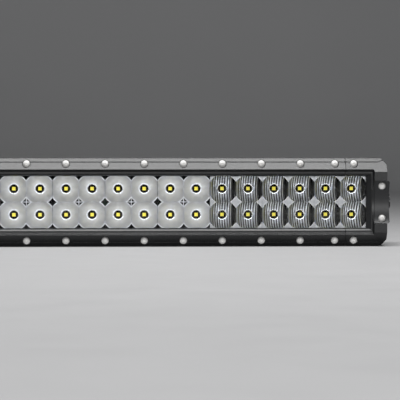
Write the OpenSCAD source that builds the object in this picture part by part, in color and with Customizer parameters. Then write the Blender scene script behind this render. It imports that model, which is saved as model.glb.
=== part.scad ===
// LED light bar, two rows of twenty LEDs, 21.5 inch size.
// Millimetres. X runs along the bar, -Y is the way the light shines, +Z is up.
// Origin: bottom centre, on the surface that the bar stands on.

/* [Overall] */
// Length over the flat outer faces of the two end caps
bar_length = 545.6; // [545.6:0.1:546]
// Height of the extruded housing
bar_height = 86; // [86:0.5:88]
// Depth from the front of the end caps to the tips of the rear fins
bar_depth = 77; // [76:0.5:82]
// Height over the outer edges of the bezel and end caps
bezel_height = 84.8; // [84:0.2:85.6]

/* [Light field] */
// Spacing of the LEDs, both ways
led_pitch = 25.4; // [25.4:0.1:25.4]
// Number of 2 x 2 spot reflectors in the middle
spot_modules = 4; // [4:1:4]
// Number of 2 x 2 flood reflectors at each end
flood_modules_per_end = 3; // [3:1:3]
// Depth of a reflector cup, mouth to base
cup_depth = 18.7; // [17.5:0.1:18.8]
// Radius of the hole at the base of a cup
cup_base_r = 3.75; // [3:0.05:4]
// Mouth radius of a smooth spot cup
spot_mouth_r = 14.5; // [14.2:0.1:14.8]
// Mouth radius of a fluted flood cup
flood_mouth_r = 14.3; // [14:0.1:14.8]
// Number of upright flutes across the middle of a flood cup
flute_count = 8; // [4:1:8]
// Spacing of the flutes
flute_pitch = 2.31; // [2.2:0.01:2.32]
// Side of the light-emitting square of an LED
chip_side = 3.3; // [2.8:0.1:3.6]

/* [Front] */
// Thickness of the clear front lens
lens_thickness = 3; // [2.5:0.1:3]
// Height of the front ridge of the bezel above the centre line
ridge_z = 31.7; // [31.5:0.1:32]
// How far the ridge stands in front of the bezel's outer edge
ridge_rise = 9; // [8:0.5:10]
// Height of the bezel screws above the centre line
screw_z = 37; // [36.8:0.1:37.2]
// Spacing of the regular bezel screws
screw_pitch = 37.8; // [37.4:0.1:38]
// Position of the last screw on a bezel strip
last_strip_screw_x = 222.5; // [221:0.5:224]
// Position of the bezel screw on an end cap
cap_screw_x = 241; // [239:0.5:243]
// Position of the joint between a bezel strip and an end cap
seam_x = 232.8; // [232:0.1:234]

/* [End mounts] */
// Nominal core radius of the M8 side thread
side_thread_r = 3.4; // [3.3:0.05:3.5]
// Radius of the toothed ring on the side boss
tooth_ring_r = 7; // [6.5:0.1:8]
// Number of teeth on the ring
tooth_count = 12; // [12:2:20]
// How far the side boss stands out past the end cap's flat face
boss_proud = 7.2; // [6:0.1:8]

/* [Rear] */
// Thickness of a rear cooling fin
fin_thickness = 2; // [1.8:0.1:2.6]
// Spacing of the rear cooling fins
fin_pitch = 6.6; // [6.4:0.1:6.8]
// Radius of the cable that the gland clamps
cable_r = 3.25; // [2.8:0.05:3.4]

/* [Hidden] */
$fn = 64;
mid_z = bar_height / 2;
front_y = -bar_depth / 2;
rear_y = bar_depth / 2;
ridge_y = front_y + 2;
edge_y = ridge_y + ridge_rise;
edge_z = bezel_height / 2;
slope = ridge_rise / (edge_z - ridge_z);
flat_z = ridge_z - (ridge_y - front_y) / slope;
half_length = bar_length / 2;
pad_x = half_length + 2.5;
boss_x = half_length + boss_proud;
housing_half = 256.5;
gasket_x = 258;
block_x = 261.2;
stem_x = 263.8;
seat_y = edge_y - 1.1;
housing_front = edge_y + 2.5;
lens_back = housing_front - 1.5;
lens_front = lens_back - lens_thickness;
lens_half_x = 257;
lens_half_z = 30.2;
mouth_y = lens_back + 0.3;
base_y = mouth_y + cup_depth;
board_y = base_y + 0.25;
board_thickness = 1.6;
pad_thickness = 0.45;
web_y = board_y + board_thickness + pad_thickness;
web_thickness = 4;
cavity_y = web_y + web_thickness;
cavity_rear = cavity_y + 14;
fin_root = cavity_rear + 3;
wall_z = 27.5;
cavity_z = 27;
guide_z = 28.2;
port_y = cavity_rear - 3.2;
port_z = 23.9;
board_half_x = 253.6;
module_size = 2 * led_pitch;
module_gap = 0.2;
field_half = (spot_modules / 2 + flood_modules_per_end) * module_size;
land_y = ridge_y + 3;
lip_y = ridge_y + 4.4;
land_outer_z = 29.3;
land_inner_z = 27.6;
lip_z = 26.1;
window_z = 25.2;
window_x = 253.2;
groove_z = 38.7;
groove_width = 1;
groove_depth = 0.5;
end_screw_x = 268.3;
end_screw_z = 15.7;
scoop_depth = 7.3;
scoop_z = 20.5;
scoop_r = (scoop_z * scoop_z + scoop_depth * scoop_depth) / (2 * scoop_depth);
block_back = 12;
shoulder_y = -24;
shoulder_z = 11.5;
gland_y = fin_root;
vent_x = 46;

// --- Helpers ---------------------------------------------------------------

// Extrudes a (Y, Z) profile along X; Z is measured from the bar's centre line.
module along_x(from, to) {
    translate([from, 0, mid_z])
        rotate([90, 0, 90])
            linear_extrude(to - from)
                children();
}

// Local z points to the front, local x is X and local y is Z from the centre line.
module facing_front(y) {
    translate([0, y, mid_z])
        rotate([90, 0, 0])
            children();
}

// Local z points to the rear, local x is X and local y is Z from the centre line.
module facing_rear(y) {
    translate([0, y, mid_z])
        rotate([-90, 0, 0])
            children();
}

module both_ends() {
    children();
    mirror([1, 0, 0])
        children();
}

module top_and_bottom() {
    children();
    translate([0, 0, mid_z])
        mirror([0, 0, 1])
            translate([0, 0, -mid_z])
                children();
}

// Button head screw, seat at the origin, head up, shank down.
module button_screw(head_r, rim_h, dome_h, shank_r, length, socket) {
    dome_r = (head_r * head_r + dome_h * dome_h) / (2 * dome_h);
    difference() {
        union() {
            intersection() {
                translate([0, 0, rim_h + dome_h - dome_r])
                    sphere(dome_r);
                cylinder(r = head_r, h = rim_h + dome_h + 1);
            }
            translate([0, 0, -length])
                cylinder(r = shank_r, h = length + 0.2);
        }
        translate([0, 0, rim_h + dome_h - 1.3])
            cylinder(d = socket / cos(30), h = 2, $fn = 6);
    }
}

// Socket positions of the bezel screws along one edge, strips only.
function strip_screws() = concat(
    [for (i = [-5:5]) i * screw_pitch],
    [-last_strip_screw_x, last_strip_screw_x]
);

function bezel_screw_positions() = concat(strip_screws(), [-cap_screw_x, cap_screw_x]);

// Height on the sloped front face, at z above the centre line.
function slope_y(z) = edge_y - (edge_z - z) * slope;

// --- Housing ---------------------------------------------------------------

module housing_envelope() {
    corner = 15;
    intersection() {
        translate([housing_front, -bar_height / 2])
            square([rear_y - housing_front, bar_height]);
        union() {
            translate([housing_front, -bar_height / 2])
                square([rear_y - housing_front - corner, bar_height]);
            translate([0, -bar_height / 2 + corner])
                square([rear_y, bar_height - 2 * corner]);
            for (side = [-1, 1])
                translate([rear_y - corner, side * (bar_height / 2 - corner)])
                    circle(corner);
        }
    }
}

// Rear cavity for the driver, with card guides and two round screw ports.
module driver_cavity() {
    difference() {
        union() {
            translate([cavity_y, -cavity_z])
                square([cavity_rear - cavity_y, 2 * cavity_z]);
            translate([cavity_y + 2.4, -guide_z - 0.2])
                square([1.9, 2 * guide_z + 0.4]);
        }
        for (side = [-1, 1])
            translate([port_y, side * port_z])
                circle(3.8);
    }
}

module housing_profile() {
    groove = 4;
    rib_pitch = 6.2;
    // the grooves are shallower behind the driver cavity, where they meet the rear fins
    function groove_floor(i) = i < 4 ? 31.9 : 35.2;
    difference() {
        housing_envelope();
        translate([housing_front - 1, -wall_z])
            square([web_y - housing_front + 1, 2 * wall_z]);
        driver_cavity();
        // slots between the rear fins
        for (i = [-5:4])
            translate([fin_root, (i + 0.5) * fin_pitch - (fin_pitch - fin_thickness) / 2])
                square([rear_y - fin_root + 1, fin_pitch - fin_thickness]);
        // grooves between the ribs on the top and the bottom
        for (side = [-1, 1], i = [0:6])
            translate([-10 + i * rib_pitch, side > 0 ? groove_floor(i) : -groove_floor(i) - 12])
                square([groove, 12]);
    }
}

module fin_pocket(x, half_width, half_height) {
    translate([x - half_width, fin_root, mid_z - half_height])
        cube([2 * half_width, rear_y - fin_root + 1, 2 * half_height]);
}

// Places children at the four end screws, local z pointing away from the bar.
module at_end_screws(x) {
    for (side = [-1, 1], p = [[-17, 31], [port_y, port_z]])
        translate([x, p[0], mid_z + side * p[1]])
            rotate([0, 90, 0])
                children();
}

module end_screw_ports() {
    both_ends()
        at_end_screws(housing_half - 16)
            cylinder(r = 1.8, h = 17);
}

module led_board_screw_positions() {
    for (x = [-228.6, -127, -25.4, 25.4, 127, 228.6])
        facing_front(web_y)
            translate([x, 0, 0])
                children();
}

module housing() {
    color("#3a3b3d")
        difference() {
            along_x(-housing_half, housing_half)
                housing_profile();
            fin_pocket(0, 16.5, 16.2);
            fin_pocket(vent_x, 11, 9.6);
            facing_rear(cavity_rear - 1)
                cylinder(r = 6, h = 10);
            facing_rear(cavity_rear - 1)
                translate([vent_x, 0, 0])
                    cylinder(r = 4, h = 10);
            facing_front(cavity_y + 1)
                cylinder(r = 4, h = web_thickness + 2);
            for (x = bezel_screw_positions(), side = [-1, 1])
                facing_front(housing_front + 11)
                    translate([x, side * screw_z, 0])
                        cylinder(r = 1.8, h = 12);
            led_board_screw_positions()
                translate([0, 0, -4])
                    cylinder(r = 1.3, h = 5);
            end_screw_ports();
        }
}

// --- Bezel strips ----------------------------------------------------------

// From the front ridge in to the lens: sloped band, flat land, sloped lip, steep lip.
module bezel_profile() {
    difference() {
        polygon([
            [edge_y, edge_z],
            [ridge_y, ridge_z],
            [land_y, land_outer_z],
            [land_y, land_inner_z],
            [lip_y, lip_z],
            [lens_front, window_z],
            [lens_front, lens_half_z + 0.3],
            [housing_front, lens_half_z + 0.3],
            [housing_front, edge_z]
        ]);
        translate([slope_y(groove_z), groove_z])
            rotate(atan2(1, slope))
                square([groove_width, 2 * groove_depth], center = true);
    }
}

// Pocket and shank hole of one screw in the sloped face.
module screw_pocket(x) {
    facing_front(seat_y)
        translate([x, screw_z, 0]) {
            cylinder(r = 3.85, h = 14);
            translate([0, 0, -6])
                cylinder(r = 1.9, h = 7);
        }
}

module top_bezel_shape() {
    difference() {
        along_x(-seam_x + 0.15, seam_x - 0.15)
            bezel_profile();
        for (x = strip_screws())
            screw_pocket(x);
    }
}

module top_bezel() {
    color("#4a4c4f")
        top_bezel_shape();
}

module bottom_bezel() {
    color("#4a4c4f")
        translate([0, 0, mid_z])
            mirror([0, 0, 1])
                translate([0, 0, -mid_z])
                    top_bezel_shape();
}

// --- End caps --------------------------------------------------------------

// Side silhouette of the end block, in (Y, Z).
module end_silhouette() {
    rear = rear_y - 1;
    corner = 14;
    union() {
        polygon([
            [edge_y, edge_z],
            [front_y, flat_z],
            [front_y, -flat_z],
            [edge_y, -edge_z],
            [rear - corner, -edge_z],
            [rear - corner, edge_z]
        ]);
        translate([0, -edge_z + corner])
            square([rear, 2 * edge_z - 2 * corner]);
        for (side = [-1, 1])
            translate([rear - corner, side * (edge_z - corner)])
                circle(corner);
    }
}

// A pocket in the front of the end cap, open towards the middle of the bar. Its section is in
// (Y, Z), its plan in (X, Y), and its corners are cut at an angle by the (offset, Y) profile.
module framed_pocket(section, plan, corner, angle) {
    intersection() {
        along_x(seam_x - 1, 262)
            polygon(section);
        linear_extrude(bar_height)
            polygon(plan);
        for (flip = [0, 1])
            translate([0, 0, mid_z])
                mirror([0, 0, flip])
                    corner_cut(corner, angle);
    }
}

module corner_cut(corner, angle) {
    rotate([0, -angle, 0])
        translate([0, 0, -300])
            linear_extrude(600)
                polygon(corner);
}

function both_sides(points) = concat(
    points,
    [for (i = [len(points) - 1:-1:0]) [points[i][0], -points[i][1]]]
);

// Offset from the origin of a line at this angle through the point (x, z).
function line_offset(x, z, angle) = x * cos(angle) + z * sin(angle);

// From the front ridge down to the land.
module ridge_pocket() {
    angle = 58;
    open_y = front_y - 1.5;
    widening = (ridge_z - land_outer_z) / (land_y - ridge_y) * (ridge_y - open_y);
    mitre = line_offset(255.6, ridge_z, angle);
    framed_pocket(
        both_sides([[open_y, ridge_z + widening], [land_y, land_outer_z]]),
        [
            [seam_x - 1, open_y],
            [261, open_y],
            [259, land_y],
            [seam_x - 1, land_y]
        ],
        [
            [0, open_y],
            [mitre + 0.9, open_y],
            [mitre - 1.9, land_y],
            [0, land_y]
        ],
        angle
    );
}

// From the land down to the lens.
module lip_pocket() {
    mitre = line_offset(window_x, window_z - 4, 45);
    back_y = lens_front + 0.5;
    framed_pocket(
        both_sides([
            [land_y - 0.5, land_inner_z + 0.5],
            [land_y, land_inner_z],
            [lip_y, lip_z],
            [lens_front, window_z],
            [back_y, window_z]
        ]),
        [
            [seam_x - 1, land_y - 0.5],
            [259.8, land_y - 0.5],
            [259, land_y],
            [window_x + 0.3, lens_front - 0.5],
            [window_x, lens_front],
            [window_x, back_y],
            [seam_x - 1, back_y]
        ],
        [
            [0, land_y - 0.5],
            [mitre + 2.8, land_y - 0.5],
            [mitre + 2.3, land_y],
            [mitre + 0.9, lip_y],
            [mitre, lens_front],
            [mitre, back_y],
            [0, back_y]
        ],
        45
    );
}

// The front of the end cap: the bezel's slopes run out into a flat face.
module cap_front() {
    difference() {
        along_x(seam_x + 0.15, 262)
            polygon(both_sides([
                [housing_front, edge_z],
                [edge_y, edge_z],
                [front_y, flat_z]
            ]));
        ridge_pocket();
        lip_pocket();
        // seat of the lens
        translate([seam_x - 1, lens_front, mid_z - lens_half_z - 0.3])
            cube([
                lens_half_x + 0.3 - seam_x + 1,
                housing_front - lens_front + 1,
                2 * lens_half_z + 0.6
            ]);
    }
}

module end_block() {
    chamfer_x = 4.8;
    chamfer_z = 6.2;
    difference() {
        chamfered_block(chamfer_x, chamfer_z);
        ridge_pocket();
    }
}

module chamfered_block(chamfer_x, chamfer_z) {
    intersection() {
        along_x(gasket_x, half_length)
            end_silhouette();
        translate([0, rear_y + 5, mid_z])
            rotate([90, 0, 0])
                linear_extrude(bar_depth + 10)
                    polygon([
                        [gasket_x - 1, -edge_z - 1],
                        [half_length - chamfer_x, -edge_z - 1],
                        [half_length - chamfer_x, -edge_z],
                        [half_length, -edge_z + chamfer_z],
                        [half_length, edge_z - chamfer_z],
                        [half_length - chamfer_x, edge_z],
                        [half_length - chamfer_x, edge_z + 1],
                        [gasket_x - 1, edge_z + 1]
                    ]);
    }
}

// The groove of the bezel runs on over the end cap, turns up and ends.
module groove_end() {
    turn_x = 264.8;
    top_and_bottom()
        translate([0, slope_y(groove_z), mid_z + groove_z])
            rotate([atan2(1, slope), 0, 0]) {
                translate([seam_x - 1, -groove_width / 2, -groove_depth])
                    cube([turn_x - seam_x + 1, groove_width, 2 * groove_depth]);
                translate([turn_x, 0, 0])
                    rotate(30)
                        translate([-0.2, -groove_width / 2, -groove_depth])
                            cube([5.3, groove_width, 2 * groove_depth]);
            }
}

// The concave front of the mount block, which the end cap follows beside it.
module scoop() {
    translate([block_x - 3, front_y - (scoop_r - scoop_depth), mid_z])
        rotate([0, 90, 0])
            cylinder(r = scoop_r, h = 20, $fn = 128);
}

module mount_pocket(clearance) {
    deep = shoulder_z + clearance;
    translate([block_x - clearance, front_y - 1, mid_z - scoop_z - clearance])
        cube([20, shoulder_y - front_y + 1 + clearance, 2 * (scoop_z + clearance)]);
    translate([stem_x - clearance, shoulder_y - 1, mid_z - deep])
        cube([20, block_back - shoulder_y + 1 + clearance, 2 * deep]);
}

module end_cap_shape() {
    difference() {
        union() {
            cap_front();
            end_block();
            // spigot that closes the end of the housing's front channel
            translate([254.4, housing_front, mid_z - wall_z + 0.2])
                cube([4, base_y - housing_front, 2 * wall_z - 0.4]);
        }
        groove_end();
        // hollow behind the side wall
        translate([gasket_x - 1, 17, mid_z - 24])
            cube([11, 15, 48]);
        scoop();
        mount_pocket(0.15);
        for (side = [-1, 1]) {
            // bezel screw
            translate([0, 0, mid_z])
                mirror([0, 0, side < 0 ? 1 : 0])
                    translate([0, 0, -mid_z])
                        screw_pocket(cap_screw_x);
            // threads of the mount block's screws
            facing_front(shoulder_y + 13)
                translate([end_screw_x, side * end_screw_z, 0])
                    cylinder(r = 1.8, h = 20);
        }
        // screws into the housing's end ports
        at_end_screws(gasket_x - 1) {
            cylinder(r = 1.9, h = 30);
            translate([0, 0, half_length - gasket_x - 1])
                cylinder(r = 4, h = 10);
        }
    }
}

module right_end_cap() {
    color("#2e2f31")
        end_cap_shape();
}

module left_end_cap() {
    color("#2e2f31")
        mirror([1, 0, 0])
            end_cap_shape();
}

// --- Side mount blocks -----------------------------------------------------

module tooth_ring() {
    tooth = 1.4;
    root_x = boss_x - tooth;
    half_root = tooth_ring_r * sin(180 / tooth_count);
    translate([pad_x - 0.5, 0, mid_z])
        rotate([0, 90, 0])
            cylinder(r = tooth_ring_r, h = root_x - pad_x + 0.5);
    intersection() {
        translate([root_x - 0.2, 0, mid_z])
            rotate([0, 90, 0])
                cylinder(r = tooth_ring_r, h = tooth + 0.4);
        for (i = [0:tooth_count - 1])
            translate([root_x, 0, mid_z])
                rotate([(i + 0.5) * 360 / tooth_count, 0, 0])
                    translate([0, 0, side_thread_r + 0.8])
                        linear_extrude(tooth_ring_r)
                            polygon([
                                [-0.2, -half_root * 0.9],
                                [tooth, -half_root * 0.25],
                                [tooth, half_root * 0.25],
                                [-0.2, half_root * 0.9]
                            ]);
    }
}

module mount_block_shape() {
    gap = 0.15;
    difference() {
        union() {
            translate([block_x, front_y, mid_z - scoop_z + gap])
                cube([pad_x - block_x, shoulder_y - front_y, 2 * (scoop_z - gap)]);
            translate([stem_x, shoulder_y - 1, mid_z - shoulder_z + gap])
                cube([pad_x - stem_x, block_back - shoulder_y + 1, 2 * (shoulder_z - gap)]);
            tooth_ring();
        }
        scoop();
        // chamfers at the foot and the head of the concave front
        for (side = [-1, 1])
            translate([pad_x, -50, mid_z + side * scoop_z])
                rotate([0, 45, 0])
                    translate([-0.9, 0, -0.9])
                        cube([1.8, 26, 1.8]);
        // side thread
        translate([stem_x + 0.9, 0, mid_z])
            rotate([0, 90, 0])
                cylinder(r = side_thread_r, h = 30);
        for (side = [-1, 1])
            facing_front(-31.6)
                translate([end_screw_x, side * end_screw_z, 0]) {
                    cylinder(r = 3.85, h = 12);
                    translate([0, 0, -12])
                        cylinder(r = 1.9, h = 13);
                }
    }
}

module right_mount_block() {
    color("#2e2f31")
        mount_block_shape();
}

module left_mount_block() {
    color("#2e2f31")
        mirror([1, 0, 0])
            mount_block_shape();
}

// --- Lens and seals --------------------------------------------------------

module lens() {
    color("#dfe8ee", 0.35)
        translate([-lens_half_x, lens_front, mid_z - lens_half_z])
            cube([2 * lens_half_x, lens_thickness, 2 * lens_half_z]);
}

module lens_gasket() {
    color("#141414")
        difference() {
            translate([-lens_half_x, lens_back, mid_z - lens_half_z])
                cube([2 * lens_half_x, housing_front - lens_back, 2 * lens_half_z]);
            translate([-254.6, lens_back - 1, mid_z - wall_z - 0.1])
                cube([509.2, 5, 2 * wall_z + 0.2]);
        }
}

module end_gasket_shape() {
    difference() {
        intersection() {
            along_x(housing_half, gasket_x)
                difference() {
                    housing_envelope();
                    translate([web_y + 1.5, -19])
                        square([cavity_rear - web_y - 3, 38]);
                }
            translate([0, -50, mid_z - edge_z + 0.6])
                cube([400, 84, 2 * edge_z - 1.2]);
        }
        translate([250, housing_front - 1, mid_z - wall_z])
            cube([20, base_y - housing_front + 1.2, 2 * wall_z]);
        at_end_screws(housing_half - 1)
            cylinder(r = 2.1, h = 5);
    }
}

module right_end_gasket() {
    color("#141414")
        end_gasket_shape();
}

module left_end_gasket() {
    color("#141414")
        mirror([1, 0, 0])
            end_gasket_shape();
}

// --- Reflectors ------------------------------------------------------------

function cup_r(t, base_r, mouth_r) = sqrt(pow(base_r, 2) * (1 - t) + pow(mouth_r, 2) * t);

// A solid paraboloid, base at z = 0 and mouth at z = cup_depth, grown by a wall thickness.
module cup(mouth_r, wall) {
    steps = 7;
    rotate_extrude()
        polygon(concat(
            [[0, -0.01], [cup_base_r + wall, -0.01]],
            [for (i = [1:steps]) [cup_r(i / steps, cup_base_r, mouth_r) + wall, cup_depth * i / steps]],
            [[mouth_r + wall, cup_depth + 0.01], [0, cup_depth + 0.01]]
        ));
}

module four_cups() {
    for (x = [-0.5, 0.5], z = [-0.5, 0.5])
        translate([x * led_pitch, z * led_pitch, 0])
            children();
}

// Grooves on either side of every flute, cut back into the wall of the cup.
module flute_grooves(mouth_r) {
    width = 0.4 * flute_pitch;
    intersection() {
        cup(mouth_r, 0.45);
        for (i = [0:flute_count])
            translate([(i - flute_count / 2) * flute_pitch - width / 2, -20, 2.5])
                cube([width, 40, cup_depth]);
    }
}

module reflector(index, mouth_r, wall, fluted) {
    size = module_size - module_gap;
    x = -field_half + (index + 0.5) * module_size;
    facing_front(base_y)
        translate([x, 0, 0])
            difference() {
                intersection() {
                    union() {
                        four_cups()
                            cup(mouth_r, wall);
                        if (fluted)
                            mouth_plate(size);
                        else
                            centre_cross();
                        reflector_feet();
                    }
                    translate([-size / 2, -size / 2, 0])
                        cube([size, size, cup_depth]);
                }
                four_cups()
                    cup(mouth_r, 0);
                if (fluted)
                    four_cups()
                        flute_grooves(mouth_r);
            }
}

// Closes the gaps between the mouths of four flood cups.
module mouth_plate(size) {
    translate([-size / 2, -size / 2, cup_depth - 1.4])
        cube([size, size, 1.4]);
}

// Thin ribs across the open gap between four spot cups.
module centre_cross() {
    translate([-6, -0.35, cup_depth - 9])
        cube([12, 0.7, 7]);
    translate([-0.35, -6, cup_depth - 9])
        cube([0.7, 12, 7]);
}

// One foot under the flare of each cup, out of view from the front.
module reflector_feet() {
    for (turn = [0:90:270])
        rotate(turn)
            translate([led_pitch / 2 + 7.8, led_pitch / 2 - 1.2, 0])
                cube([2.4, 2.4, 9]);
}

module flood_reflector(index) {
    color("#b9bcc0")
        reflector(index, flood_mouth_r, 1.3, true);
}

module spot_reflector(index) {
    color("#c9ccd0")
        reflector(index, spot_mouth_r, 0.8, false);
}

// --- LEDs and boards -------------------------------------------------------

module at_every_led() {
    for (i = [-9.5:9.5], j = [-0.5, 0.5])
        translate([i * led_pitch, 0, j * led_pitch])
            children();
}

module led_board(from, to) {
    color("#1b1c1d")
        difference() {
            translate([from, board_y, mid_z - 25.2])
                cube([to - from, board_thickness, 50.4]);
            facing_front(board_y + 3)
                cylinder(r = 4.4, h = 6);
            led_board_screw_positions()
                cylinder(r = 1.6, h = 10);
        }
}

module led_board_left() {
    led_board(-board_half_x, -0.3);
}

module led_board_right() {
    led_board(0.3, board_half_x);
}

module thermal_pad() {
    color("#8b8f93")
        difference() {
            translate([-board_half_x, board_y + board_thickness, mid_z - 25])
                cube([2 * board_half_x, pad_thickness, 50]);
            facing_front(board_y + 5)
                cylinder(r = 5, h = 8);
            led_board_screw_positions()
                translate([0, 0, -2])
                    cylinder(r = 2, h = 10);
        }
}

module led_packages() {
    side = chip_side + 0.5;
    color("#e6e4dc")
        at_every_led()
            translate([-side / 2, board_y - 0.6, mid_z - side / 2])
                cube([side, 0.6, side]);
}

module led_phosphors() {
    color("#e6d21f")
        at_every_led()
            translate([-chip_side / 2, board_y - 0.95, mid_z - chip_side / 2])
                cube([chip_side, 0.35, chip_side]);
}

module led_board_screws() {
    color("#c9cbcd")
        led_board_screw_positions()
            translate([0, 0, pad_thickness + board_thickness])
                button_screw(2.4, 0.4, 1.1, 1.25, 5.5, 1.5);
}

// --- Driver ----------------------------------------------------------------

driver_half = 105;
driver_y = cavity_y + 2.5;
driver_top = driver_y + board_thickness;

module driver_board() {
    color("#1f5a3a")
        translate([-driver_half, driver_y, mid_z - guide_z])
            cube([2 * driver_half, board_thickness, 2 * guide_z]);
}

module driver_capacitors() {
    color("#2b2d33")
        for (x = [-84, -72, 72, 84])
            facing_rear(driver_top)
                translate([x, 9, 0]) {
                    cylinder(r = 4, h = 8);
                    translate([-4.2, -4.2, 0])
                        cube([8.4, 8.4, 1]);
                }
}

module driver_inductors() {
    color("#46484b")
        for (x = [-50, -30, 30, 50])
            facing_rear(driver_top)
                translate([x, 0, 0])
                    intersection() {
                        translate([-6, -6, 0])
                            cube([12, 12, 6.5]);
                        cylinder(r = 7.4, h = 6.5);
                    }
}

module driver_chips() {
    color("#17181a")
        for (x = [-62, -40, 40, 62], z = [-12, 12])
            translate([x - 3, driver_top, mid_z + z - 2.5])
                cube([6, 1.7, 5]);
}

module input_terminal() {
    color("#2f6b46")
        difference() {
            translate([12, driver_top, mid_z - 5])
                cube([10, 7, 10]);
            for (z = [-2.5, 2.5])
                translate([11, driver_top + 3.5, mid_z + z])
                    rotate([0, 90, 0])
                        cylinder(r = 1.3, h = 7);
        }
}

// Two insulated leads from the driver, through the web, to each LED board.
module lead(side) {
    r = 0.8;
    x = side * 1.9;
    turn_y = board_y - 1.6;
    foot_x = side * 8;
    translate([x, 0, 0]) {
        translate([0, turn_y, mid_z])
            rotate([-90, 0, 0])
                cylinder(r = r, h = driver_y - turn_y);
        translate([0, turn_y, mid_z])
            sphere(r);
    }
    translate([min(x, foot_x), turn_y, mid_z])
        rotate([0, 90, 0])
            cylinder(r = r, h = abs(foot_x - x));
    translate([foot_x, turn_y, mid_z]) {
        sphere(r);
        rotate([-90, 0, 0])
            cylinder(r = r, h = board_y - turn_y);
    }
}

module led_leads() {
    color("#a01c1c") {
        lead(-1);
        lead(1);
    }
}

// --- Fasteners -------------------------------------------------------------

module bezel_screws() {
    color("#c9cbcd")
        for (x = bezel_screw_positions(), side = [-1, 1])
            facing_front(seat_y)
                translate([x, side * screw_z, 0])
                    button_screw(3.5, 1.1, 1.5, 1.75, 12.5, 2.5);
}

module mount_block_screws() {
    color("#c9cbcd")
        both_ends()
            for (side = [-1, 1])
                facing_front(-31.6)
                    translate([end_screw_x, side * end_screw_z, 0])
                        button_screw(3.5, 1.1, 1.5, 1.75, 18, 2.5);
}

module end_cap_screws() {
    color("#c9cbcd")
        both_ends()
            at_end_screws(half_length - 2)
                button_screw(3.5, 0.5, 1.4, 1.75, 28, 2.5);
}

// --- Cable gland and vent --------------------------------------------------

module gland_body() {
    color("#1d1e20")
        difference() {
            facing_rear(gland_y) {
                translate([0, 0, -3.5])
                    cylinder(r = 5.95, h = 4);
                cylinder(d = 17 / cos(30), h = 5, $fn = 6);
                cylinder(r = 6.5, h = 9);
            }
            facing_rear(gland_y) {
                translate([0, 0, -6])
                    cylinder(r = 3.9, h = 30);
                translate([0, 0, 3])
                    cylinder(r = 5.2, h = 20);
            }
        }
}

module gland_seal() {
    color("#0f0f10")
        facing_rear(gland_y + 3)
            difference() {
                cylinder(r = 5.1, h = 9);
                translate([0, 0, -1])
                    cylinder(r = cable_r, h = 12);
            }
}

module gland_nut() {
    color("#1d1e20")
        facing_rear(gland_y + 5.2)
            difference() {
                union() {
                    cylinder(d = 17 / cos(30), h = 6, $fn = 6);
                    cylinder(r1 = 8.4, r2 = 6, h = 12.2);
                }
                translate([0, 0, -1])
                    cylinder(r = 6.6, h = 5.2);
                translate([0, 0, -1])
                    cylinder(r = 5.3, h = 8.2);
                translate([0, 0, -1])
                    cylinder(r = 3.9, h = 20);
            }
}

module breather_vent() {
    color("#1d1e20")
        facing_rear(gland_y)
            translate([vent_x, 0, 0])
                difference() {
                    union() {
                        translate([0, 0, -3.5])
                            cylinder(r = 3.95, h = 4);
                        cylinder(d = 13 / cos(30), h = 2.5, $fn = 6);
                        cylinder(r = 6.4, h = 5.5);
                    }
                    for (a = [0:60:300])
                        rotate(a)
                            translate([3.6, 0, 4.5])
                                cylinder(r = 0.9, h = 3);
                }
}

// --- Assembly --------------------------------------------------------------

housing();
top_bezel();
bottom_bezel();
left_end_cap();
right_end_cap();
left_mount_block();
right_mount_block();
lens();
lens_gasket();
left_end_gasket();
right_end_gasket();
spot_reflector(3);  // spot_reflector_1
spot_reflector(4);  // spot_reflector_2
spot_reflector(5);  // spot_reflector_3
spot_reflector(6);  // spot_reflector_4
flood_reflector(0);  // flood_reflector_1
flood_reflector(1);  // flood_reflector_2
flood_reflector(2);  // flood_reflector_3
flood_reflector(7);  // flood_reflector_4
flood_reflector(8);  // flood_reflector_5
flood_reflector(9);  // flood_reflector_6
led_board_left();
led_board_right();
thermal_pad();
led_packages();
led_phosphors();
driver_board();
driver_capacitors();
driver_inductors();
driver_chips();
input_terminal();
led_leads();
bezel_screws();
mount_block_screws();
end_cap_screws();
led_board_screws();
gland_body();
gland_seal();
gland_nut();
breather_vent();
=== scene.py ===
"""Looks for the two-row LED light bar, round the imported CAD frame.

Metres, the CAD's frame: X along the bar, -Y the way the light shines, +Z up.
"""

import math
from functools import partial

import bmesh
import bpy
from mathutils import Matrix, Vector


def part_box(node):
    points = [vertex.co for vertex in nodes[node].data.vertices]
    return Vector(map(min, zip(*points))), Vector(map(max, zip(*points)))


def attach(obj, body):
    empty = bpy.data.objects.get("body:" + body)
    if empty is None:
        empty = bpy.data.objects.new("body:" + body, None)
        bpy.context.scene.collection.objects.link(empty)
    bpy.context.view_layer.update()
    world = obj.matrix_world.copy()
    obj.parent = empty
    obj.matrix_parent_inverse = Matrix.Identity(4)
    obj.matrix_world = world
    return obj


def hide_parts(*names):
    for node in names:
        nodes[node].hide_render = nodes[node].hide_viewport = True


MM = 0.001

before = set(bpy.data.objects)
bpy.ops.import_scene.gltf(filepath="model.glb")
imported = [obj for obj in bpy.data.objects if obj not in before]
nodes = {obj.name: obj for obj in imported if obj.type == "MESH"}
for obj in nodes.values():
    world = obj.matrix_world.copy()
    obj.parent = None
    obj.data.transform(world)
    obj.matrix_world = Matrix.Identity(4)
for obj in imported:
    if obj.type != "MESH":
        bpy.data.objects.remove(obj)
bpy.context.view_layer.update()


# --- The reflectors' sizes --------------------------------------------------

PITCH = 25.4 * MM           # from LED to LED
CUP_DEPTH = 18.7 * MM
BASE_RADIUS = 3.75 * MM     # of the hole for the LED
SHELL = 1.3 * MM            # thickness of the metallised skin
BEAD_WIDTH = 1.3 * MM       # of the bright bead round the hole
BEAD_HEIGHT = 0.45 * MM

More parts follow.
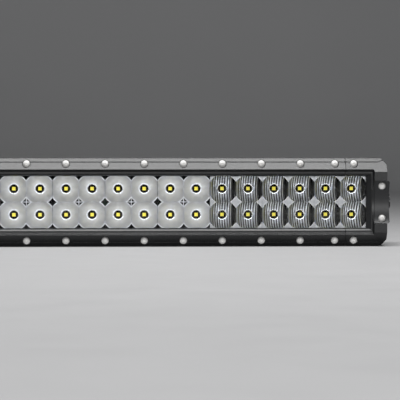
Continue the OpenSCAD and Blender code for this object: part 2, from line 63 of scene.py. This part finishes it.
SPOT_MOUTH = 14.5 * MM      # mouth radius of a smooth cup
SPOT_RIM = 0.7 * MM
SPOT_CREST = 0.14 * MM      # least width of the rim, where the cell cuts it off
SPOT_GAP = 0.12 * MM        # how far the outer sides of a reflector stay inside its pitch

FLOOD_MOUTH = 14.3 * MM     # mouth radius of a fluted cup
FLOOD_GAP = 0.1 * MM
FLUTE_PITCH = PITCH / 11
FLUTE_DEPTH = 0.42 * MM
FLUTE_FADE = 0.8 * MM       # run over which a groove dies out at the mouth and at the base
GROOVES = 9
LAST_BRIGHT = 3.6 * FLUTE_PITCH   # further than this from the middle, the outboard wall is painted dark, a painted dark reflection

# How strongly each part of a fluted cup is painted dark, from 0 to 1: painted shade in the grooves and
# painted dark reflections on the walls and plates
INBOARD_WALL_PAINTED_DARK = 0.3
OUTBOARD_WALL_PAINTED_DARK = 0.92
PLATE_EDGE_PAINTED_DARK = 0.66
PLATE_PAINTED_DARK = 0.72


# --- Material building ------------------------------------------------------

class Graph:
    """A material's node tree, with short calls for the nodes used here."""

    def __init__(self, name):
        self.material = bpy.data.materials.new(name)
        self.material.use_nodes = True
        self.tree = self.material.node_tree
        self.shader = self.tree.nodes["Principled BSDF"]
        self.output = self.tree.nodes["Material Output"]
        coordinates = self.node("ShaderNodeTexCoord")
        self.object = coordinates.outputs["Object"]

    def node(self, kind, **settings):
        made = self.tree.nodes.new(kind)
        for name, value in settings.items():
            setattr(made, name, value)
        return made

    def link(self, source, target):
        self.tree.links.new(source, target)

    def set(self, **values):
        for name, value in values.items():
            self.shader.inputs[name.replace("_", " ")].default_value = value

    def attribute(self, name):
        """A number kept on the mesh's points, 0 where the mesh hasn't got it."""
        return self.node("ShaderNodeAttribute", attribute_name=name).outputs["Fac"]

    def noise(self, scale, detail=2.0, roughness=0.5):
        noise = self.node("ShaderNodeTexNoise")
        noise.inputs["Scale"].default_value = scale
        noise.inputs["Detail"].default_value = detail
        noise.inputs["Roughness"].default_value = roughness
        self.link(self.object, noise.inputs["Vector"])
        return noise.outputs["Fac"]

    def range(self, value, low, high, to_low, to_high):
        remap = self.node("ShaderNodeMapRange", clamp=True)
        names = ("From Min", "From Max", "To Min", "To Max")
        for name, number in zip(names, (low, high, to_low, to_high)):
            remap.inputs[name].default_value = number
        self.link(value, remap.inputs["Value"])
        return remap.outputs["Result"]

    def maths(self, operation, first, second):
        node = self.node("ShaderNodeMath", operation=operation)
        for socket, value in zip(node.inputs, (first, second)):
            if isinstance(value, (int, float)):
                socket.default_value = value
            else:
                self.link(value, socket)
        return node.outputs[0]

    def mix(self, factor, first, second):
        mix = self.node("ShaderNodeMix", data_type="RGBA")
        self.link(factor, mix.inputs[0])
        for socket, value in zip(mix.inputs[6:8], (first, second)):
            if isinstance(value, tuple):
                socket.default_value = (*value, 1)
            else:
                self.link(value, socket)
        return mix.outputs[2]

    def bump(self, height, strength, distance, normal=None):
        bump = self.node("ShaderNodeBump")
        bump.inputs["Strength"].default_value = strength
        bump.inputs["Distance"].default_value = distance
        self.link(height, bump.inputs["Height"])
        if normal is not None:
            self.link(normal, bump.inputs["Normal"])
        return bump.outputs["Normal"]

    def rounded(self, radius):
        bevel = self.node("ShaderNodeBevel", samples=4)
        bevel.inputs["Radius"].default_value = radius
        return bevel.outputs["Normal"]

    def edges(self, rounded_normal, low, high):
        """1 on sharp edges, 0 on flat faces."""
        flat = self.node("ShaderNodeNewGeometry").outputs["True Normal"]
        dot = self.node("ShaderNodeVectorMath", operation="DOT_PRODUCT")
        self.link(flat, dot.inputs[0])
        self.link(rounded_normal, dot.inputs[1])
        return self.range(dot.outputs["Value"], high, low, 0, 1)

    def base(self, colour):
        self.link(colour, self.shader.inputs["Base Color"])

    def rough(self, value):
        self.link(value, self.shader.inputs["Roughness"])

    def normal(self, value):
        self.link(value, self.shader.inputs["Normal"])


# The stretch of a noise texture's output that is spread over a range of roughness
NOISE_LOW, NOISE_HIGH = 0.3, 0.7


def powder_coat(name, dark, light, roughness, grain, depth, gloss):
    """Baked powder paint: a fine pebbled skin, a little uneven in gloss, rubbed lighter along its edges."""
    edge_radius, edge_gain = 0.4 * MM, 3
    g = Graph(name)
    drift = g.noise(35, 3)
    pebbles = g.noise(grain, 3, 0.6)
    rounded = g.rounded(edge_radius)
    worn = g.maths("MULTIPLY", g.edges(rounded, 0.8, 0.97), g.noise(400, 3))
    paint = g.mix(drift, dark, light)
    g.base(g.mix(worn, paint, tuple(edge_gain * c for c in light)))
    unevenness = g.noise(grain * 0.6, 3)
    g.rough(g.range(unevenness, NOISE_LOW, NOISE_HIGH, roughness - 0.06, roughness + 0.07))
    g.normal(g.bump(pebbles, 0.6, depth, rounded))
    g.set(Specular_IOR_Level=gloss)
    return g.material


def plain_plastic(name, dark, light, roughness, gloss=0.5):
    """Moulded plastic or rubber: faint mottling and a fine matt skin."""
    grain, depth = 900, 0.03 * MM
    g = Graph(name)
    g.base(g.mix(g.noise(60, 3), dark, light))
    g.rough(g.range(g.noise(220, 3), NOISE_LOW, NOISE_HIGH, roughness - 0.07, roughness + 0.07))
    g.normal(g.bump(g.noise(grain, 3), 0.5, depth))
    g.set(Specular_IOR_Level=gloss)
    return g.material


def metallised(name, dark, light, roughness):
    """Vacuum-metallised plastic.

    The mesh says where its colour is painted dark (painted shade and painted dark reflections), where it
    has a painted bluish reflection, and where it is polished.
    """
    # The first colour is painted shade and painted dark reflection, the second a painted bluish reflection;
    # the tint below takes the shine off the painted dark parts
    painted_dark_colour, painted_reflection_colour = (0.003, 0.003, 0.004), (0.6, 0.66, 1.0)
    painted_dark_spec_tint = (0.02, 0.02, 0.026)
    g = Graph(name)
    bright = g.mix(g.noise(90, 2), dark, light)
    painted_dark = g.attribute("painted_dark")
    # Painted reflection: the inboard walls of the fluted cups are tinted bluish
    metal = g.mix(g.attribute("painted_cool_reflection"), bright, painted_reflection_colour)
    g.set(Metallic=1.0)
    g.base(g.mix(painted_dark, metal, painted_dark_colour))
    g.link(g.mix(painted_dark, (1.0, 1.0, 1.0), painted_dark_spec_tint), g.shader.inputs["Specular Tint"])
    satin = g.range(g.noise(700, 3), NOISE_LOW, NOISE_HIGH, roughness - 0.04, roughness + 0.05)
    smoother = g.range(g.attribute("polish"), 0, 1, 1, 0.35)
    rougher = g.range(painted_dark, 0, 1, 0, 0.1)
    g.rough(g.maths("ADD", g.maths("MULTIPLY", satin, smoother), rougher))
    g.normal(g.bump(g.noise(420, 2), 0.12, 0.02 * MM))
    return g.material


def steel(name, dark, light, roughness):
    """Metal with a fine grain and slightly rounded edges."""
    edge_radius = 0.12 * MM
    g = Graph(name)
    g.set(Metallic=1.0)
    g.base(g.mix(g.noise(300, 3), dark, light))
    g.rough(g.range(g.noise(1500, 3), NOISE_LOW, NOISE_HIGH, roughness - 0.05, roughness + 0.06))
    g.normal(g.bump(g.noise(900, 3), 0.2, 0.02 * MM, g.rounded(edge_radius)))
    return g.material


def clear_lens(name):
    """Polished clear polycarbonate: see-through, with the reflection of its front skin."""
    g = Graph(name)
    g.tree.nodes.remove(g.shader)
    clear = g.node("ShaderNodeBsdfTransparent")
    clear.inputs["Color"].default_value = (0.975, 0.982, 0.985, 1)
    gloss = g.node("ShaderNodeBsdfGlossy")
    gloss.inputs["Roughness"].default_value = 0.03
    gloss.inputs["Color"].default_value = (1, 1, 1, 1)
    fresnel = g.node("ShaderNodeFresnel")
    fresnel.inputs["IOR"].default_value = 1.2
    ripple = g.bump(g.noise(14, 2), 0.05, 0.2 * MM)
    g.link(ripple, gloss.inputs["Normal"])
    mix = g.node("ShaderNodeMixShader")
    g.link(fresnel.outputs[0], mix.inputs[0])
    g.link(clear.outputs[0], mix.inputs[1])
    g.link(gloss.outputs[0], mix.inputs[2])
    g.link(mix.outputs[0], g.output.inputs["Surface"])
    return g.material


# Each material by its slot's name, with its darkest and lightest colours and its roughness. A coat
# also has the number of its pebbles to the metre, their height and its gloss.
COATS = {
    "housing_coat": ((0.02, 0.0207, 0.022), (0.03, 0.031, 0.0325), 0.45, 2300, 0.05 * MM, 0.5),
    "bezel_coat": ((0.008, 0.0083, 0.0088), (0.012, 0.0124, 0.013), 0.29, 2600, 0.035 * MM, 0.3),
    "cap_coat": ((0.009, 0.0093, 0.0098), (0.014, 0.0145, 0.0152), 0.31, 2400, 0.035 * MM, 0.3),
    "block_coat": ((0.014, 0.0145, 0.0153), (0.02, 0.0206, 0.0216), 0.36, 2600, 0.03 * MM, 0.3),
}
METALLISED = {
    "spot_metallised": ((0.77, 0.774, 0.808), (0.84, 0.844, 0.878), 0.52),
    "flood_metallised": ((0.93, 0.935, 0.965), (0.97, 0.975, 1.0), 0.295),
}
METALS = {
    "capacitor": ((0.45, 0.46, 0.48), (0.55, 0.56, 0.58), 0.3),
    "stainless": ((0.77, 0.765, 0.755), (0.89, 0.885, 0.875), 0.84),
}
PLASTICS = {
    "silicone": ((0.01, 0.01, 0.01), (0.016, 0.016, 0.016), 0.7),
    "thermal_pad": ((0.3, 0.31, 0.33), (0.38, 0.39, 0.41), 0.8),
    "led_phosphor": ((0.97, 0.8, 0.035), (1.0, 0.87, 0.08), 0.35),
    "driver_board": ((0.01, 0.1, 0.05), (0.02, 0.13, 0.06), 0.35),
    "inductor": ((0.03, 0.03, 0.033), (0.05, 0.05, 0.053), 0.6),
    "chip": ((0.012, 0.012, 0.013), (0.018, 0.018, 0.02), 0.5),
    "terminal": ((0.02, 0.14, 0.06), (0.03, 0.18, 0.08), 0.45),
    "lead_insulation": ((0.01, 0.01, 0.011), (0.016, 0.016, 0.017), 0.45),
    "gland_plastic": ((0.012, 0.012, 0.013), (0.02, 0.02, 0.022), 0.5),
}
# Dark plastics with little shine, which also have a gloss
MATT_PLASTICS = {
    "led_board": ((0.002, 0.002, 0.0022), (0.004, 0.004, 0.0044), 0.5, 0.04),
    "led_package": ((0.003, 0.003, 0.0033), (0.006, 0.006, 0.0065), 0.5, 0.06),
}


def make_materials():
    """Every material by its slot's name."""
    made = {"lens": clear_lens("lens")}
    for make, recipes in (
        (powder_coat, COATS),
        (metallised, METALLISED),
        (steel, METALS),
        (plain_plastic, PLASTICS),
        (plain_plastic, MATT_PLASTICS),
    ):
        for name, recipe in recipes.items():
            made[name] = make(name, *recipe)
    return made


def dress_nodes():
    """Gives each CAD node the material of its slot."""
    for o in nodes.values():
        for material_slot in o.material_slots:
            material_slot.material = materials[material_slot.material.name.split(".")[0]]
    # Painted shade: the stainless heads are coloured nearly black, as bright heads would show between the
    # cups
    shade_painted = steel("shade_painted_steel", (0.012, 0.012, 0.012), (0.02, 0.02, 0.02), 0.45)
    nodes["led_board_screws"].material_slots[0].material = shade_painted


# --- Reflectors -------------------------------------------------------------

def clamped(value, low, high):
    return min(max(value, low), high)


class Bowl:
    """A paraboloid cup round (x, z) = (0, 0), with its mouth at y = 0 and its base behind it."""

    def __init__(self, mouth):
        self.mouth = mouth
        self.spread = mouth ** 2 - BASE_RADIUS ** 2

    def y(self, r):
        return CUP_DEPTH * (1 - (r * r - BASE_RADIUS ** 2) / self.spread)

    def inward(self, x, z):
        """Unit normal towards the light's way out."""
        r = max(math.hypot(x, z), 1e-9)
        slope = 2 * CUP_DEPTH * r / self.spread
        return Vector((-slope * x / r, -1, -slope * z / r)).normalized()


def grid_faces(bm, rows):
    """Quads between rows of vertices, without the ones that have shrunk to nothing."""
    for a, b in zip(rows, rows[1:]):
        for k in range(len(a) - 1):
            corners = [a[k], a[k + 1], b[k + 1], b[k]]
            kept = [v for n, v in enumerate(corners) if (v.co - corners[n - 1].co).length > 1e-7]
            if len(kept) > 2:
                bm.faces.new(kept)


def thicken(bm):
    """Closes an open front skin with a copy of itself further back."""
    bmesh.ops.remove_doubles(bm, verts=bm.verts[:], dist=1e-7)
    made = bmesh.ops.extrude_face_region(bm, geom=bm.faces[:], use_keep_orig=True)
    moved = [v for v in made["geom"] if isinstance(v, bmesh.types.BMVert)]
    bmesh.ops.translate(bm, verts=moved, vec=(0, SHELL, 0))
    bmesh.ops.recalc_face_normals(bm, faces=bm.faces[:])


def base_bead(bowl):
    """(r, y, polish) of the small bright bead round the hole at the bottom of a cup."""
    steps, last_polish = 6, 0.3
    points = []
    for k in range(steps + 1):
        r = BASE_RADIUS + BEAD_WIDTH * k / steps
        y = bowl.y(r) - BEAD_HEIGHT * math.sin(math.pi * k / steps)
        points.append((r, y, 1 if k < steps else last_polish))
    return points


def spot_angles(crossing):
    """Degrees round a smooth cup, closer together where its neighbours cut it off straight."""
    straight_steps, round_steps = 9, 8
    angles = []
    for quarter in range(4):
        start = quarter * 90
        angles += [start + crossing * (k / straight_steps - 1) for k in range(2 * straight_steps + 1)]
        span = 90 - 2 * crossing
        angles += [start + crossing + span * k / round_steps for k in range(1, round_steps)]
    return angles


def spot_profile(bowl, bead, outer):
    """(r, y, polish) from the hole of a smooth cup to the far side of its rim, at radius outer."""
    steps = 18
    inner = min(bowl.mouth, outer - SPOT_CREST)
    start = bead[-1][0]
    points = list(bead)
    for k in range(1, steps + 1):
        r = start + (inner - start) * k / steps
        points.append((r, bowl.y(r), 0))
    lip = bowl.y(inner)
    for share, rise in ((0.35, 0.06), (0.75, 0.05), (1, -0.05)):
        points.append((inner + share * (outer - inner), lip - rise * MM, 0))
    return points


def spot_bowl(sides):
    """A smooth cup, clipped to its cell. sides are the half widths towards -x, +x, -z and +z."""
    bowl = Bowl(SPOT_MOUTH)
    reach = SPOT_MOUTH + SPOT_RIM
    angles = spot_angles(math.degrees(math.acos(sides[0] / reach)))
    bead = base_bead(bowl)
    bm = bmesh.new()
    polish = bm.verts.layers.float.new("polish")
    rows = []
    for angle in angles + angles[:1]:
        c = math.cos(math.radians(angle))
        s = math.sin(math.radians(angle))
        reach_x = (sides[1] if c > 0 else sides[0]) / max(abs(c), 1e-9)
        reach_z = (sides[3] if s > 0 else sides[2]) / max(abs(s), 1e-9)
        row = []
        for r, y, shine in spot_profile(bowl, bead, min(reach, reach_x, reach_z)):
            v = bm.verts.new((r * c, y, r * s))
            v[polish] = shine
            row.append(v)
        rows.append(row)
    grid_faces(bm, rows)
    thicken(bm)
    return bm


def rib(bm, place, half):
    """A thin rib with rounded edges."""
    made = bmesh.ops.create_cube(bm, size=2)
    bmesh.ops.scale(bm, verts=made["verts"], vec=half)
    bmesh.ops.translate(bm, verts=made["verts"], vec=place)
    edges = {e for v in made["verts"] for e in v.link_edges}
    bmesh.ops.bevel(bm, geom=list(edges), offset=0.15 * MM, segments=2, profile=0.5, affect="EDGES")


def groove_columns(half):
    """(x, share) of the mesh's columns: share runs from -1 to 1 across a groove and is None beside them."""
    groove_steps, wall_steps = 8, 4
    edge = GROOVES / 2 * FLUTE_PITCH
    columns = {}
    for i in range(GROOVES * groove_steps + 1):
        share = 2 * (i % groove_steps) / groove_steps - 1
        columns[i / groove_steps * FLUTE_PITCH - edge] = share
    for k in range(1, wall_steps + 1):
        for side in (-1, 1):
            columns[side * (edge + (half - edge) * k / wall_steps)] = None
    return sorted(columns.items())


def column_shade(x, share, outboard):
    """(painted dark, painted cool reflection) of a column: painted shade on the groove floors, a painted
    dark reflection on the outboard wall and a painted bluish reflection on the inboard one.

    These are painted tones. They stand in for the dark reflections in the photograph.
    """
    floor_edge, floor_blur = 0.54, 0.22
    if outboard * x > LAST_BRIGHT:
        return OUTBOARD_WALL_PAINTED_DARK, 0
    if share is None:
        return INBOARD_WALL_PAINTED_DARK, 1
    return clamped((floor_edge - abs(share)) / floor_blur, 0, 1), 0


def flute_point(bowl, x, z, hollow):
    """A point of a fluted cup. hollow is 0 on a ridge and 1 on a groove's floor."""
    half = PITCH / 2
    r = math.hypot(x, z)
    from_mouth = (bowl.mouth - r) / FLUTE_FADE
    from_base = (r - BASE_RADIUS - FLUTE_FADE) / FLUTE_FADE
    soft = max(min(from_mouth, from_base, 1), 0)
    point = Vector((x, bowl.y(r), z)) - bowl.inward(x, z) * hollow * FLUTE_DEPTH * soft
    point.x = clamped(point.x, -half, half)
    point.z = clamped(point.z, -half, half)
    return point


def flute_column(bm, layers, bowl, x, share, side, outboard):
    """A column of points from a fluted cup's hole to its mouth and on over the flat plate beside it."""
    painted_dark, painted_cool_reflection = layers
    half, steps = PITCH / 2, 20
    inner = math.sqrt(max(BASE_RADIUS ** 2 - x * x, 0))
    outer = min(half, math.sqrt(max(bowl.mouth ** 2 - x * x, 0)))
    hollow = 0 if share is None else 1 - share * share
    column_painted_dark, column_painted_cool = column_shade(x, share, outboard)
    row = []
    for k in range(steps + 1):
        z = side * (inner + (outer - inner) * k / steps)
        v = bm.verts.new(flute_point(bowl, x, z, hollow))
        # Painted shade and painted dark reflection, a little stronger towards the mouth
        painted_dark_gain = min(0.9 + 0.2 * (math.hypot(x, z) / bowl.mouth) ** 2, 1)
        v[painted_dark] = column_painted_dark * painted_dark_gain if k < steps else 0
        # Painted bluish reflection on the inboard plain walls
        v[painted_cool_reflection] = column_painted_cool
        row.append(v)
    plate = half - outer
    y = min(row[-1].co.y, 0) if plate > 1e-6 else row[-1].co.y
    edge_share = 0.25 * MM / plate if plate > 0.5 * MM else 0.5
    # The flat plate beside the cup is painted dark too, a painted dark reflection
    for plate_share, plate_painted_dark in ((edge_share, PLATE_EDGE_PAINTED_DARK), (1, PLATE_PAINTED_DARK)):
        v = bm.verts.new((x, y, side * (outer + plate * plate_share)))
        v[painted_dark] = plate_painted_dark
        row.append(v)
    return row


def flood_bowl(sides, outboard):
    """A cup with upright grooves across its middle and plain walls beside them.

    outboard is 1 or -1, the way to the nearer end of the bar.
    """
    bowl = Bowl(FLOOD_MOUTH)
    bm = bmesh.new()
    # Masks of painted dark (shade and reflection) and of painted bluish reflection
    layers = [bm.verts.layers.float.new(name) for name in ("painted_dark", "painted_cool_reflection")]
    bm.verts.layers.float.new("polish")
    for side in (-1, 1):
        columns = groove_columns(PITCH / 2)
        grid_faces(bm, [flute_column(bm, layers, bowl, x, share, side, outboard) for x, share in columns])
    thicken(bm)
    add_base_ring(bm, bowl)
    for v in bm.verts:
        v.co.x = clamped(v.co.x, -sides[0], sides[1])
        v.co.z = clamped(v.co.z, -sides[2], sides[3])
    return bm


def add_base_ring(bm, bowl):
    """A round bead over the ends of the flutes."""
    steps, lift, foot = 48, 0.35 * MM, 0.3 * MM
    polish = bm.verts.layers.float["polish"]
    profile = [(r, y - lift, shine) for r, y, shine in base_bead(bowl)]
    profile += [(profile[-1][0], CUP_DEPTH + foot, 0), (BASE_RADIUS, CUP_DEPTH + foot, 0)]
    rows = []
    for i in range(steps):
        a = 2 * math.pi * i / steps
        row = []
        for r, y, shine in profile:
            v = bm.verts.new((r * math.cos(a), y, r * math.sin(a)))
            v[polish] = shine
            row.append(v)
        rows.append(row + row[:1])
    grid_faces(bm, rows + rows[:1])


def cell_sides(sx, sz, gap):
    """Half widths of a cup's cell towards -x, +x, -z and +z, with a gap at the reflector's outer sides."""
    inner, outer = PITCH / 2, PITCH / 2 - gap
    return [outer if sx < 0 else inner, outer if sx > 0 else inner,
            outer if sz < 0 else inner, outer if sz > 0 else inner]


def centre_of(node):
    low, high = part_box(node)
    return (low + high) / 2


def add_cups(whole, node, gap, make_bowl):
    """Four cups round the middle of a reflector node, their mouths at its front."""
    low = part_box(node)[0]
    centre = centre_of(node)
    for sx in (-1, 1):
        for sz in (-1, 1):
            cup = make_bowl(cell_sides(sx, sz, gap))
            for v in cup.verts:
                v.co += Vector((centre.x + sx * PITCH / 2, low.y, centre.z + sz * PITCH / 2))
            part = bpy.data.meshes.new("part")
            cup.to_mesh(part)
            cup.free()
            whole.from_mesh(part)
            bpy.data.meshes.remove(part)


def add_cross(whole, node):
    """The two thin ribs that cross between four smooth cups."""
    length, thickness, height, set_back = 12 * MM, 0.7 * MM, 7 * MM, 7 * MM
    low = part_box(node)[0]
    centre = centre_of(node)
    for size_x, size_z in ((length, thickness), (thickness, length)):
        rib(whole, (centre.x, low.y + set_back, centre.z), (size_x / 2, height / 2, size_z / 2))


def finish_reflector(name, node, slot_name, whole):
    """Makes the piece of a reflector from its bmesh, in place of its node."""
    for face in whole.faces:
        face.smooth = True
    mesh = bpy.data.meshes.new(name)
    whole.to_mesh(mesh)
    whole.free()
    mesh.set_sharp_from_angle(angle=math.radians(32))
    mesh.materials.append(materials[slot_name])
    piece = bpy.data.objects.new(name, mesh)
    bpy.context.scene.collection.objects.link(piece)
    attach(piece, "root")
    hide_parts(node)


def make_spot_reflectors():
    for index in range(1, 5):
        node = f"spot_reflector_{index}"
        whole = bmesh.new()
        add_cups(whole, node, SPOT_GAP, spot_bowl)
        add_cross(whole, node)
        finish_reflector(f"spot_bowls_{index}", node, "spot_metallised", whole)


def make_flood_reflectors():
    for index in range(1, 7):
        node = f"flood_reflector_{index}"
        outboard = 1 if centre_of(node).x > 0 else -1
        whole = bmesh.new()
        add_cups(whole, node, FLOOD_GAP, partial(flood_bowl, outboard=outboard))
        finish_reflector(f"flood_bowls_{index}", node, "flood_metallised", whole)


# --- Studio -----------------------------------------------------------------

def aim(o, target):
    o.rotation_euler = (Vector(target) - o.location).to_track_quat("-Z", "Y").to_euler()


def softbox(name, place, target, width, height, watts):
    light = bpy.data.lights.new(name, "AREA")
    light.shape = "RECTANGLE"
    light.size = width
    light.size_y = height
    light.energy = watts
    o = bpy.data.objects.new(name, light)
    bpy.context.scene.collection.objects.link(o)
    o.location = place
    aim(o, target)


def make_camera():
    """The photograph's camera, solved from the LED grid and other features of the front."""
    camera = bpy.data.objects.new("camera", bpy.data.cameras.new("camera"))
    bpy.context.scene.collection.objects.link(camera)
    camera.location = (0.0095, -1.9585, 0.096)
    aim(camera, (0.0927, -0.0085, 0.0445))
    camera.data.lens = 179.6
    camera.data.sensor_width = 36
    camera.data.clip_end = 50
    bpy.context.scene.camera = camera


def floor_profile():
    """(y, z) of the floor, from behind the camera to the top of the wall that it sweeps up into."""
    front, back, radius, top = -6.0, 2.2, 0.8, 4.0
    steps = 24
    profile = [(front, 0.0)]
    for i in range(steps + 1):
        a = math.pi / 2 * i / steps
        profile.append((back + radius * math.sin(a), radius - radius * math.cos(a)))
    profile.append((back + radius, top))
    return profile


def pale_paint():
    g = Graph("pale_floor")
    g.base(g.mix(g.noise(3, 2), (0.4, 0.4, 0.404), (0.43, 0.43, 0.434)))
    g.rough(g.range(g.noise(20, 2), NOISE_LOW, NOISE_HIGH, 0.55, 0.65))
    return g.material


def make_floor():
    """A pale floor that sweeps up into a wall well behind the bar."""
    half_width = 6.0
    bm = bmesh.new()
    edges = [[bm.verts.new((x, y, z)) for x in (-half_width, half_width)] for y, z in floor_profile()]
    for near, far in zip(edges, edges[1:]):
        bm.faces.new((near[0], near[1], far[1], far[0])).smooth = True
    mesh = bpy.data.meshes.new("floor")
    bm.to_mesh(mesh)
    bm.free()
    mesh.materials.append(pale_paint())
    floor = bpy.data.objects.new("floor", mesh)
    bpy.context.scene.collection.objects.link(floor)


def make_studio():
    """Two soft lights, a little light from all round, the floor and the camera."""
    scene = bpy.context.scene
    scene.view_settings.view_transform = "Standard"
    world = bpy.data.worlds.new("studio")
    scene.world = world
    world.use_nodes = True
    background = world.node_tree.nodes["Background"]
    background.inputs["Color"].default_value = (0.93, 0.96, 1.0, 1)
    background.inputs["Strength"].default_value = 0.06
    softbox("overhead", (0.1, -0.28, 1.3), (0.1, -0.03, 0.05), 1.3, 0.32, 24)
    softbox("front", (0.05, -2.4, 0.8), (0.1, 0, 0.04), 1.9, 1.2, 38)
    make_floor()
    make_camera()


materials = make_materials()
dress_nodes()
make_spot_reflectors()
make_flood_reflectors()
make_studio()
